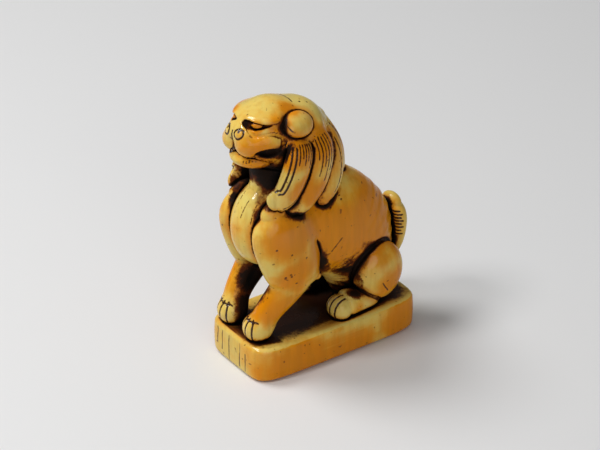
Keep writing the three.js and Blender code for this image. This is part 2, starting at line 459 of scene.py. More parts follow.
def lock_strands(side):
    """The three locks down one side, the front one last."""
    outward = (side, 0.15, 0.1)
    paths = [
        [(2.7, -0.8, 33.4, 2.2, 0.9), (3.9, 0.2, 29.4, 2.3, 1.2), (4.5, -0.2, 25.6, 2.2, 1.3),
         (5.0, -2.0, 22.4, 1.9, 1.1)],
        [(4.3, -3.2, 34.4, 2.3, 1.0), (5.4, -2.9, 31.2, 2.6, 1.4), (5.6, -4.0, 27.2, 2.7, 1.5),
         (5.6, -6.2, 24.2, 2.4, 1.4), (5.5, -8.2, 23.2, 2.1, 1.1)],
        [(4.9, -6.5, 34.3, 2.2, 1.1), (5.8, -6.9, 32.2, 2.5, 1.5), (5.9, -7.9, 28.8, 2.6, 1.5),
         (5.8, -9.6, 26.0, 2.4, 1.4), (5.4, -11.4, 25.3, 2.3, 1.2)],
    ]
    return [Strand(leaning_all(path, side), outward) for path in paths]


def back_lock():
    return limb([
        (0, 0.6, 34.2, 2.2, 1.1),
        (0, 2.8, 29.5, 2.8, 1.2),
        (0, 3.6, 25.6, 2.4, 1.3),
        (0, 4.2, 22.6, 1.4, 1.1),
    ], (0, 1, 0))


def tail_strand():
    return Strand([
        (0, 13.4, 3.8, 1.8, 1.3),
        (0, 14.7, 7.6, 2.9, 1.7),
        (0, 15.0, 11.2, 3.4, 1.8),
        (0, 15.0, 14.0, 3.0, 1.7),
    ], (0, 1, 0))


# Building the field

class Lattice:
    """A regular grid of points with their distances."""

    def __init__(self, low, high, step):
        self.axes = [np.arange(a, b + step, step) for a, b in zip(low, high)]
        self.field = np.full([len(axis) for axis in self.axes], FAR, np.float32)
        self.seam = None

    def near(self, low, high):
        spans = [slice(*np.searchsorted(axis, (a, b))) for axis, a, b in zip(self.axes, low, high)]
        grid = np.meshgrid(*(axis[span] for axis, span in zip(self.axes, spans)), indexing="ij")
        return tuple(spans), np.stack(grid, -1)


class Cloud:
    """Loose points with their distances, and how far each is from the nearest seam between forms."""

    def __init__(self, points):
        self.points = points
        self.field = np.full(len(points), FAR)
        self.seam = np.full(len(points), FAR)

    def near(self, low, high):
        index = np.nonzero(((self.points >= low) & (self.points <= high)).all(1))[0]
        return index, self.points[index]


def apply(space, form, rule):
    """Changes the field near a form by a rule, and notes the seam that this leaves."""
    index, points = space.near(form.low - UPDATE_MARGIN, form.high + UPDATE_MARGIN)
    if points.size:
        space.field[index], seam = rule(space.field[index], form.distance(points), points)
        if space.seam is not None:
            space.seam[index] = np.minimum(space.seam[index], seam)


def melt(softness):
    """Runs a form softly into what is already there."""
    return lambda old, new, points: (soft_least(old, new, softness), FAR)


def lay_on(crease, softness=0.15, fade=None, stained=True):
    """Adds a form and creases it where it meets what is already there, as far as fade (0 to 1) lets it."""
    least_crease, faded_softness, crease_softness, stain_loss = 0.02, 1.1, 0.08, 2

    def rule(old, new, points):
        full = 1 if fade is None else fade(points)
        seam = np.sqrt(old ** 2 + new ** 2) - crease * full
        joined = soft_least(old, new, softness + faded_softness * (1 - full))
        seam = np.where(crease * full > least_crease, seam, FAR)
        creased = soft_most(joined, -seam, crease_softness)
        return creased, seam + stain_loss * (1 - full) if stained else FAR
    return rule


def cut(softness, stained=True):
    """Takes a form away."""
    def rule(old, new, points):
        return soft_most(old, -new, softness), np.maximum(new, old) if stained else FAR
    return rule


def shoulder_fade(points):
    """The shoulder runs into the back without a crease."""
    height = points[..., 2] - figure((0, 0, 15.5))[2]
    rear = points[..., 1] - figure((0, -9.5, 0))[1]
    return 1 - np.clip(height / 1.5, 0, 1) * np.clip(rear / 2.0, 0, 1)


def lock_fade(points):
    """The locks rise out of the smooth crown."""
    return np.clip((figure((0, 0, 35.2))[2] - points[..., 2]) / 2.5, 0, 1)


def carve_forms(space):
    """Builds the carving's distance field, in the order a carver lays the forms over each other."""
    apply(space, body(), melt(0))
    for side in SIDES:
        apply(space, haunch(side), lay_on(CREASE * 1.6, 0.3))
        apply(space, hind_foot(side), lay_on(CREASE))
        apply(space, foreleg(side), lay_on(CREASE, 0.3, shoulder_fade))
    apply(space, tail_strand().form(), lay_on(CREASE * 1.3))
    apply(space, skull(), lay_on(CREASE))
    apply(space, jaw(), lay_on(JAW_CREASE, 0.4, stained=False))
    apply(space, muzzle(), lay_on(MUZZLE_CREASE, 0.4, stained=False))
    for side in SIDES:
        apply(space, brow(side), melt(1.3))
        apply(space, eye_hollow(side), cut(0.3, stained=False))
        apply(space, eyeball(side), lay_on(BEAD_CREASE, 0.05, stained=False))
        apply(space, fang_pocket(side), cut(0.2))
        apply(space, fang(side), lay_on(BEAD_CREASE, 0.05, stained=False))
    apply(space, back_lock(), lay_on(CREASE, fade=lock_fade))
    for side in SIDES:
        for strand in lock_strands(side):
            apply(space, strand.form(), lay_on(CREASE, fade=lock_fade))
        apply(space, ear(side), lay_on(CREASE * 0.6))
    apply(space, plinth(), lay_on(FOOTING_CREASE, 0.2))


# Engraved lines

def settled(points):
    """The points moved onto the carving's surface."""
    step = 0.04
    for _ in range(3):
        probes = np.vstack([points] + [points + step * axis for axis in np.eye(3)])
        cloud = Cloud(probes)
        carve_forms(cloud)
        value = cloud.field.reshape(4, -1)
        slope = (value[1:] - value[0]) / step
        steepness = np.maximum((slope ** 2).sum(0), 0.3)
        points = points - (np.clip(value[0], -1, 1) * slope / steepness).T
    return points


def hair_lines():
    """Lines cut along each lock: share across, start and end share of its length."""
    cuts = [
        [(-0.45, 0.16, 0.85), (0.3, 0.24, 0.42)],
        [(-0.8, 0.2, 0.9), (-0.55, 0.06, 0.4), (-0.3, 0.06, 0.5),
         (-0.05, 0.08, 0.36), (0.2, 0.06, 0.46), (0.45, 0.08, 0.3)],
        [(0.42, 0.1, 0.34), (0.2, 0.1, 0.27), (-0.02, 0.1, 0.34),
         (-0.25, 0.1, 0.3), (-0.5, 0.1, 0.38), (-0.6, 0.5, 0.88)],
    ]
    lines = []
    for side in SIDES:
        for strand, shares in zip(lock_strands(side), cuts):
            lines += [strand.on_surface(lateral * side, start, stop) for lateral, start, stop in shares]
    return lines


def edge_lines():
    """The bolder lines along both edges of each front lock."""
    shares = [(0.88, 0.12, 0.93), (0.64, 0.14, 0.9), (-0.84, 0.14, 0.94)]
    return [lock_strands(side)[2].on_surface(lateral * side, start, stop, 22)
            for side in SIDES for lateral, start, stop in shares]


def figure_line(points, count=12):
    """A smooth line through points in figure units."""
    return smooth_path([figure(point) for point in points], count)


def mouth_line(side):
    return figure_line(leaning_all([
        (0.0, -15.3, 32.9), (1.2, -15.1, 32.4), (2.4, -14.4, 32.3),
        (3.4, -13.2, 32.9), (4.4, -11.4, 33.4), (4.9, -10.0, 33.5),
    ], side), 16)


def ring(centre, across, up, radius, start, stop, count=18):
    """An arc in the plane of two directions, between two angles in degrees."""
    angles = np.radians(np.linspace(start, stop, count))[:, None]
    across, up = (np.asarray(v, float) / np.linalg.norm(v) for v in (across, up))
    return figure(centre) + radius * UNIT * (np.cos(angles) * across + np.sin(angles) * up)


def nostril(side):
    centre = leaning((1.5, -15.25, 36.5), side)
    return ring(centre, (side * 0.85, 0.5, 0), (0, 0.3, 1), 0.92, 115, 440)


def nose_cuts():
    """The notch in the top of each nostril, and the line from the nose to the lip."""
    notch = [(1.45, -15.0, 37.5), (1.5, -15.25, 36.8)]
    groove = [(0, -15.3, 36.4), (0, -15.7, 34.9), (0, -15.4, 33.2)]
    return [*(figure_line(leaning_all(notch, side), 4) for side in SIDES), figure_line(groove)]


def ear_fold(side):
    centre = leaning((5.2, -6.9, 37.4), side)
    return ring(centre, (0, 1, 0), (-side * 0.7, 0, 0.7), 1.75, 178, 232, 8)


def toe_clefts(side):
    """Short cuts between the toes of a forefoot and a hind foot, from the instep over the tip."""
    fore = ((1.3, 1.9), (1.9, 1.4), (2.3, 0.6), (2.45, -0.3), (2.3, -1.2), (2.0, -1.7))
    hind = ((-0.6, 3.7), (0.1, 3.5), (1.1, 3.0), (1.7, 2.3), (1.95, 1.4), (1.8, 0.4))
    hind_x, hind_y, hind_gap = 5.0, 1.3, 1.05
    x, y, z = paw_centre(side)
    lines = []
    for place in (-1, 0, 1):
        spread = math.radians(90 + 32 * place)
        lines.append([
            figure(((x + reach * math.cos(spread)) * side, y - reach * math.sin(spread), z + rise))
            for reach, rise in fore])
        lines.append([
            figure((hind_x * side + hind_gap * place, hind_y - reach * math.cos(0.5 * place), height))
            for reach, height in hind])
    return lines


def claw_nicks(side):
    """Small notches above the toes of a forefoot."""
    reach, rise = 1.55 * UNIT, 1.75 * UNIT
    half_width, forward = 0.4, 0.35
    x, y, z = paw_centre(side)
    lines = []
    for place in (-1.5, -0.5, 0.5, 1.5):
        spread = math.radians(90 + 30 * place)
        out = np.array([math.cos(spread) * side, -math.sin(spread), 0])
        beside = np.array([-out[1], out[0], 0])
        tip = figure((x * side, y, z)) + out * reach + np.array([0, 0, rise])
        front = tip + out * forward
        lines.append([front - beside * half_width, tip, front + beside * half_width])
    return lines


def lip_strokes(side):
    """Short radiating strokes along the lower lip."""
    path = mouth_line(side)
    down = np.array([0, 0, -1.0])
    below, short, longer = 0.5, 0.9, 0.25
    return [[path[k] + down * below, path[k] + down * (short + longer * (k % 2))] for k in range(5, 15)]


def tail_strokes():
    """Hair lines fanning across the tuft on both sides."""
    strand = tail_strand()
    lines = []
    for side in SIDES:
        for k in range(8):
            lines.append(strand.around(0.5 + 0.06 * k, -5 - 10 * (k % 2), -100 + 6 * (k % 3), side))
    return lines


def body_lines():
    """The line along the spine, and the long lines down the breast."""
    spine = [(0, 3.6, 24.6), (0, 6.6, 21.2), (0, 9.8, 17.6), (0, 12.6, 13.6)]
    breast = [
        [(1.0, -12.4, 24.6), (0.9, -13.6, 23.0), (0.8, -14.4, 21.0)],
        [(2.3, -12.0, 24.0), (2.3, -13.0, 22.4), (2.4, -13.6, 20.6)],
    ]
    down_breast = [figure_line(mirrored_all(path, side)) for side in SIDES for path in breast]
    return [figure_line(spine, 20), *down_breast]


def age_cracks():
    """Fine cracks: crown, flank and haunch, and down the plinth's front in millimetres."""
    crown = [(-1.3, -6.2, 39.4), (-0.4, -5.8, 39.0), (0.3, -5.6, 38.7), (1.3, -5.6, 38.1)]
    flank = [(6.0, 1.1, 14.8), (6.0, 0.2, 13.8), (5.9, -0.7, 12.6)]
    haunch_edge = [(7.4, 7.9, 4.9), (7.3, 8.5, 3.9), (7.1, 9.3, 2.8)]
    lines = [figure_line(path, 8) for path in (crown, flank, haunch_edge)]
    plinth_front = [(-1.1, 5.2, 0.7), (1.85, 5.2, 1.0), (-3.0, 5.1, 1.6), (-4.3, 5.2, 2.2), (3.4, 4.2, 0.9)]
    for x, top, foot in plinth_front:
        wander = [0.03 * math.sin(3.1 * x + 1.9 * k) - 0.02 * k for k in range(5)]
        heights = np.linspace(top, foot, 5)
        lines.append([(x + w, -PLINTH_HALF_LENGTH, z) for w, z in zip(wander, heights)])
    return lines


def pits():
    """Small dark pits in the ivory, each a very short line."""
    spots = [
        (7.2, -9.5, 16.1), (7.0, -6.8, 14.6), (7.0, -9.5, 12.5), (6.9, -10.3, 12.1), (6.9, -9.3, 12.1),
        (6.8, -8.3, 10.4), (1.5, -4.0, 38.4), (1.5, -2.7, 37.8), (-7.0, -8.0, 14.0), (-6.9, -5.2, 11.5),
        (4.6, 1.4, 21.0), (5.8, -11.6, 17.5), (-5.0, 5.0, 15.5),
    ]
    return [[figure(spot), figure(spot) + (0.02, 0.05, 0.05)] for spot in spots]


class Engraving:
    """All engraved lines, settled on the surface once, each with its radius."""

    def __init__(self):
        groups = [
            (hair_lines(), HAIR_LINE),
            (edge_lines(), EDGE_LINE),
            ([mouth_line(side) for side in SIDES], MOUTH_LINE),
            ([nostril(side) for side in SIDES], NOSTRIL_LINE),
            (nose_cuts(), NOSE_CUT),
            ([ear_fold(side) for side in SIDES], FINE_LINE),
            ([line for side in SIDES for line in toe_clefts(side)], TOE_CLEFT),
            ([line for side in SIDES for line in claw_nicks(side)], CLAW_NICK),
            ([line for side in SIDES for line in lip_strokes(side)], LIP_STROKE),
            (tail_strokes(), TAIL_STROKE),
            (body_lines(), BODY_LINE),
            (age_cracks(), FINE_LINE),
            (pits(), PIT),
        ]
        lines = [(np.asarray(line, float), radius) for group, radius in groups for line in group]
        everything = settled(np.vstack([line for line, _ in lines]))
        ends = np.cumsum([len(line) for line, _ in lines])
        self.cords = [cord(part, radius) for part, (_, radius) in
                      zip(np.split(everything, ends[:-1]), lines)]

    def cut_into(self, space):
        for form in self.cords:
            apply(space, form, cut(LINE_SOFTNESS, stained=False))

    def gap(self, points):
        """Distance to the nearest engraved line's edge, up to a millimetre."""
        best = np.ones(len(points))
        for form in self.cords:
            near = ((points > form.low - LINE_REACH) & (points < form.high + LINE_REACH)).all(1)
            best[near] = np.minimum(best[near], form.distance(points[near]))
        return best


# Meshing

def surface_net(lattice, step):
    """Vertices and quads of the zero surface, one vertex in each cell it passes through."""
    field = lattice.field
    inside = field < 0
    origin = np.array([axis[0] for axis in lattice.axes])
    corners = [(i, j, k) for i in (0, 1) for j in (0, 1) for k in (0, 1)]
    shape = np.array(field.shape) - 1
    count = np.zeros(shape, np.int8)
    for i, j, k in corners:
        count += inside[i:i + shape[0], j:j + shape[1], k:k + shape[2]]
    cells = np.argwhere((count > 0) & (count < 8))
    value = {c: field[tuple((cells + c).T)] for c in corners}
    total = np.zeros((len(cells), 3))
    hits = np.zeros(len(cells))
    for axis in range(3):
        for a in corners:
            if a[axis]:
                continue
            b = tuple(v + (n == axis) for n, v in enumerate(a))
            crossing = (value[a] < 0) != (value[b] < 0)
            share = np.where(crossing, value[a] / np.where(crossing, value[a] - value[b], 1), 0)
            spot = np.array(a, float) + share[:, None] * (np.arange(3) == axis)
            total += spot * crossing[:, None]
            hits += crossing
    vertices = origin + step * (cells + total / hits[:, None])
    number = np.full(shape, -1, np.int64)
    number[tuple(cells.T)] = np.arange(len(cells))
    quads = []
    for axis in range(3):
        u, v = (axis + 1) % 3, (axis + 2) % 3
        start = np.take(inside, range(field.shape[axis] - 1), axis)
        end = np.take(inside, range(1, field.shape[axis]), axis)
        edges = np.argwhere(start != end)
        beside = edges[:, [u, v]]
        edges = edges[((beside > 0) & (beside < shape[[u, v]])).all(1)]
        back_u, back_v = (np.arange(3) == u).astype(int), (np.arange(3) == v).astype(int)
        around = [edges - back_u - back_v, edges - back_v, edges, edges - back_u]
        quad = np.stack([number[tuple(c.T)] for c in around], 1)
        leaving = inside[tuple(edges.T)]
        quad[~leaving] = quad[~leaving][:, ::-1]
        quads.append(quad)
    return vertices, np.concatenate(quads)


def largest_shell(vertices, quads):
    """The biggest connected shell alone, without bubbles under the lines and loose crumbs."""
    label = np.arange(len(vertices))
    settling = True
    while settling:
        fresh = label.copy()
        np.minimum.at(fresh, quads, label[quads].min(1)[:, None])
        fresh = fresh[fresh]
        settling = not np.array_equal(fresh, label)
        label = fresh
    shell = label[quads[:, 0]]
    quads = quads[shell == np.bincount(shell).argmax()]
    kept, quads = np.unique(quads, return_inverse=True)
    return vertices[kept], quads.reshape(-1, 4)


def new_mesh(name, vertices, faces):
    mesh = bpy.data.meshes.new(name)
    size = faces.shape[1]
    mesh.vertices.add(len(vertices))
    mesh.vertices.foreach_set("co", np.asarray(vertices, np.float32).ravel())
    mesh.loops.add(faces.size)
    mesh.loops.foreach_set("vertex_index", faces.astype(np.int32).ravel())
    mesh.polygons.add(len(faces))
    mesh.polygons.foreach_set("loop_start", np.arange(0, faces.size, size, dtype=np.int32))
    mesh.polygons.foreach_set("loop_total", np.full(len(faces), size, np.int32))
    mesh.update(calc_edges=True)
    mesh.validate()
    return mesh


def add_object(name, mesh):
    thing = bpy.data.objects.new(name, mesh)
    bpy.context.scene.collection.objects.link(thing)
    return thing


def thin(thing, share):
    """Brings an object's mesh down to a share of its triangles."""
    thinner = thing.modifiers.new("thinner", "DECIMATE")
    thinner.ratio = share
    thinner.use_collapse_triangulate = True
    graph = bpy.context.evaluated_depsgraph_get()
    mesh = bpy.data.meshes.new_from_object(thing.evaluated_get(graph))
    thing.modifiers.clear()
    thing.data = mesh


def vertex_vectors(mesh, name):
    """A mesh's vertex places or normals as an array."""
    values = np.empty(len(mesh.vertices) * 3, np.float32)
    mesh.vertices.foreach_get(name, values)
    return values.reshape(-1, 3).astype(float)


def openness(lattice, step, points, normals, reach, stride):
    """Share of the sky each point sees within a reach, by walking through the lattice."""
    rays, lift, grazing = 28, 0.25, 0.05
    origin = np.array([axis[0] for axis in lattice.axes])
    solid = lattice.field < 0
    limit = np.array(solid.shape) - 1
    turn = np.pi * (3 - math.sqrt(5))
    seen = np.zeros(len(points))
    weight = np.zeros(len(points))
    for n in range(rays):
        z = 1 - 2 * (n + 0.5) / rays
        flat = math.sqrt(1 - z * z)
        way = np.array([flat * math.cos(n * turn), flat * math.sin(n * turn), z])
        facing = np.maximum(normals @ way, 0)
        live = np.nonzero(facing > grazing)[0]
        for k in range(1, int(reach / stride) + 1):
            spot = points[live] + normals[live] * lift + way * stride * k
            cell = np.round((spot - origin) / step).astype(int)
            within = ((cell >= 0) & (cell <= limit)).all(1)
            cell = np.clip(cell, 0, limit)
            live = live[~(solid[tuple(cell.T)] & within)]
        seen[live] += facing[live]
        weight += facing * (facing > grazing)
    return seen / np.maximum(weight, 1e-6)


def patches(points, spots):
    """Soft patches on both sides: each spot's centre and radius in figure units."""
    amount = np.zeros(len(points))
    for centre, radius in spots:
        for side in SIDES:
            gap = points - figure(mirrored(centre, side))
            amount = np.maximum(amount, np.exp(-(gap * gap).sum(1) / (radius * UNIT) ** 2))
    return amount


def soil_and_shade_patches(points):
    """Patches darkened beyond the creases, partly as grime and partly as painted shade: under the jaw, by
    the locks, inside the legs.
    """
    return patches(points, [
        ((1.6, -10.6, 28.6), 3.2), ((3.0, -10.4, 27.4), 2.7), ((3.4, -12.6, 24.8), 1.8),
        ((3.6, -13.4, 22.4), 1.6), ((0, -11.6, 28.6), 2.3), ((6.4, -6.0, 33.2), 1.3),
        ((5.9, 4.6, 8.8), 2.4), ((5.6, 6.4, 11.2), 1.5), ((5.6, -2.6, 10.2), 3.4),
        ((5.6, 3.4, 8.0), 3.2), ((0, -6.0, 9.0), 6.0), ((2.4, -10.4, 7.0), 3.0),
        ((1.4, -11.6, 3.2), 2.6), ((6.6, 3.6, 4.0), 1.8), ((1.4, 12.8, 8.0), 1.6),
        ((6.3, -7.0, 22.2), 2.2), ((4.4, -0.6, 21.6), 2.6), ((4.6, -11.0, 33.2), 1.3),
        ((5.6, -9.4, 33.6), 2.0), ((4.8, -9.6, 37.2), 1.8), ((1.6, -13.9, 38.0), 1.3),
    ])


def patina(points):
    """Where handling has turned the ivory amber."""
    return patches(points, [
        ((6.5, -9.5, 18.5), 4.0), ((6.5, -8.0, 12.0), 3.4), ((5.8, 1.0, 15.5), 7.0),
        ((4.5, 7.0, 14.5), 7.0), ((5.6, -3.0, 19.5), 4.0), ((3.0, -12.5, 34.0), 2.6),
        ((2.0, -12.0, 30.5), 2.6), ((6.5, -8.0, 33.0), 2.6), ((6.0, -2.5, 33.0), 3.0),
        ((7.4, 10.2, 4.2), 2.8), ((6.4, 3.6, 1.6), 1.2), ((6.8, -7.6, 27.0), 2.0),
        ((6.6, -4.6, 25.0), 2.0), ((7.5, -9.0, -4.4), 5.4), ((7.5, 3.0, -4.6), 3.4),
        ((7.5, 12.0, -3.6), 4.6), ((4.5, -10.5, 6.0), 3.2), ((3.0, -12.9, 37.4), 1.2),
        ((4.5, -10.2, 37.6), 1.5), ((3.0, -6.6, 39.0), 1.3),
    ])


def polish(points):
    """Where rubbing has left the highest gloss."""
    return patches(points, [
        ((1.5, -11.0, 39.2), 3.6), ((0, -6.0, 39.8), 4.5), ((0.9, -14.8, 37.3), 1.6),
        ((2.6, -14.6, 35.2), 1.6), ((3.0, -14.4, 3.2), 2.0), ((5.0, 0.2, 2.8), 2.0),
        ((7.0, 7.4, 8.6), 2.4), ((6.4, -10.8, 26.6), 2.0), ((5.4, -7.4, 38.2), 2.2),
        ((6.6, -9.8, 20.0), 2.6), ((7.2, -4.0, 9.8), 1.6), ((7.0, -14.5, 0), 1.6),
    ])


# The plinth's top: the band that counts as top, its share of patina, and the stain's reach at the ends
TOP_BAND = 0.3
TOP_PATINA = 0.2
END_START = 9.0
END_LENGTH = 3.0
END_STAIN = 1.1
DEEPEST_INSET = 5

# How far the sky is looked for, and in what strides, in millimetres
NEAR_SKY = (1.5, 0.25)
FAR_SKY = (7.0, 0.5)


def add_attribute(mesh, name, values):
    layer = mesh.attributes.new(name, "FLOAT", "POINT")
    layer.data.foreach_set("value", np.asarray(values, np.float32))


def paint(mesh, lattice, engraving, points, normals):
    """Stores what the ivory's staining and painted shade depend on, in millimetres or as shares."""
    cloud = Cloud(points)
    carve_forms(cloud)
    top = (np.abs(points[:, 2] - PLINTH_HEIGHT) < TOP_BAND) & (normals[:, 2] > 0.5)
    by_ends = np.clip((np.abs(points[:, 1]) - END_START) / END_LENGTH, 0, 1)
    inset = np.clip(END_STAIN * by_ends - plinth_wall(points), 0, DEEPEST_INSET)
    add_attribute(mesh, "seam_gap", cloud.seam)
    add_attribute(mesh, "line_gap", engraving.gap(points))
    add_attribute(mesh, "patina", patina(points) * np.where(top, TOP_PATINA, 1.0))
    # Grime and painted shade patches, which darken the ivory under the jaw, by the locks and inside the
    # legs.
    add_attribute(mesh, "soil_and_shade_patches", soil_and_shade_patches(points))
    add_attribute(mesh, "inset", np.where(top, inset, 0))
    add_attribute(mesh, "polish", polish(points))
    # How open each point is to the sky; the material paints shade where it is closed.
    add_attribute(mesh, "near_sky", openness(lattice, VOXEL, points, normals, *NEAR_SKY))
    add_attribute(mesh, "far_sky", openness(lattice, VOXEL, points, normals, *FAR_SKY))


def lion_dog():
    """The whole carving: its field meshed, thinned, laid back on the surface and painted."""
    engraving = Engraving()
    lattice = Lattice(BOX_LOW - FIELD_MARGIN, BOX_HIGH + FIELD_MARGIN, VOXEL)
    carve_forms(lattice)
    engraving.cut_into(lattice)
    vertices, quads = largest_shell(*surface_net(lattice, VOXEL))
    thing = add_object("lion_dog", new_mesh("lion_dog_rough", vertices, quads))
    triangles = 2 * len(quads)
    if triangles > TRIANGLE_BUDGET:
        thin(thing, TRIANGLE_BUDGET / triangles)
    mesh = thing.data
    points = vertex_vectors(mesh, "co")
    for _ in range(2):
        cloud = Cloud(points)
        carve_forms(cloud)
        engraving.cut_into(cloud)
        shift = np.clip(cloud.field, -SETTLING, SETTLING)
        points = points - vertex_vectors(mesh, "normal") * shift[:, None]
        points = np.clip(points, BOX_LOW + SAFE_INSET, BOX_HIGH - SAFE_INSET)
        points[:, 2] = np.maximum(points[:, 2], 0)
        mesh.vertices.foreach_set("co", points.astype(np.float32).ravel())
        mesh.update()
    paint(mesh, lattice, engraving, points, vertex_vectors(mesh, "normal"))
    mesh.vertices.foreach_set("co", (points / MM).astype(np.float32).ravel())
    mesh.polygons.foreach_set("use_smooth", np.ones(len(mesh.polygons), bool))
    mesh.update()
    mesh.name = "lion_dog"
    return thing


# Shader expressions

class Socket:
    """A shader socket that can be used in Python arithmetic."""

    def __init__(self, maker, link):
        self.maker = maker
        self.link = link

    def _math(self, operation, *values):
        return self.maker.node("ShaderNodeMath", {"operation": operation}, values)

    def __add__(self, other):
        return self._math("ADD", self, other)

    def __radd__(self, other):
        return self._math("ADD", other, self)

    def __sub__(self, other):
        return self._math("SUBTRACT", self, other)

    def __rsub__(self, other):
        return self._math("SUBTRACT", other, self)

    def __mul__(self, other):
        return self._math("MULTIPLY", self, other)

    def __rmul__(self, other):
        return self._math("MULTIPLY", other, self)

    def greatest(self, other):
        return self._math("MAXIMUM", self, other)


class Maker:
    """Builds one material's nodes."""

    def __init__(self, name):
        self.material = bpy.data.materials.new(name)
        self.material.use_nodes = True
        self.tree = self.material.node_tree
        self.tree.nodes.clear()

    def node(self, kind, settings=None, values=None, output=0):
        """Adds a node: its settings first, then its sockets' values or links. Gives one output."""
        node = self.tree.nodes.new(kind)
        for name, value in (settings or {}).items():
            setattr(node, name, value)
        items = values.items() if isinstance(values, dict) else enumerate(values or ())
        for key, value in items:
            if isinstance(value, Socket):
                self.tree.links.new(value.link, node.inputs[key])
            else:
                node.inputs[key].default_value = value
        return Socket(self, node.outputs[output])

    def attribute(self, name):
        return self.node("ShaderNodeAttribute", {"attribute_name": name}, output=2)

    def where(self):
        """The place on the object, in metres."""
        return self.node("ShaderNodeTexCoord", output=3)

    def stretched(self, scale):
        return self.node("ShaderNodeMapping", None, {0: self.where(), 3: scale})

    def noise(self, scale, detail=3.0, roughness=0.55, vector=None):
        return self.node("ShaderNodeTexNoise", None, {
            "Vector": vector or self.where(),
            "Scale": scale,
            "Detail": detail,
            "Roughness": roughness,
        })

    def ease(self, value, low, high):
        """0 at low, 1 at high, smooth between; low may be the larger."""
        rising = low < high
        ends = {1: low, 2: high, 3: 0.0, 4: 1.0} if rising else {1: high, 2: low, 3: 1.0, 4: 0.0}
        return self.node("ShaderNodeMapRange", {"interpolation_type": "SMOOTHSTEP"}, {0: value, **ends})

    def mix(self, share, first, second):
        settings = {"data_type": "RGBA", "blend_type": "MIX", "clamp_factor": True}
        return self.node("ShaderNodeMix", settings, {0: share, 6: first, 7: second}, 2)

    def finish(self, shader):
        output = self.tree.nodes.new("ShaderNodeOutputMaterial")
        self.tree.links.new(shader.link, output.inputs[0])
        return self.material


# The ivory's colours, from clean to black with grime and painted shade
CREAM = (0.70, 0.56, 0.15, 1)
HONEY = (0.82, 0.39, 0.006, 1)
ORANGE = (0.68, 0.22, 0.001, 1)
STREAK = (0.42, 0.15, 0.003, 1)
RUSSET = (0.14, 0.028, 0.002, 1)
UMBER = (0.014, 0.006, 0.003, 1)
# Near black, painted as shade deep in closed cavities.
CAVITY_SHADE_BLACK = (0.004, 0.003, 0.002, 1)

# How a stain or painted shade starts and where it is full. By a seam: how much the grime and shade patches
# widen it, how ragged it is, its start and its full place in millimetres. By the grime and shade patches,
# near sky and far sky, as painted shade: how ragged, start and full share.
RUSSET_BY_SEAM = (0.8, 1.0, 0.3, -0.04)
RUSSET_BY = {"soil_and_shade": (1.2, 0.16, 0.5), "near": (0.4, 0.72, 0.46), "far": (0.35, 0.55, 0.3)}
UMBER_BY_SEAM = (0.5, 0.7, 0.14, -0.1)
UMBER_BY = {"soil_and_shade": (1.1, 0.38, 0.72), "near": (0.4, 0.55, 0.32), "far": (0.3, 0.45, 0.22)}


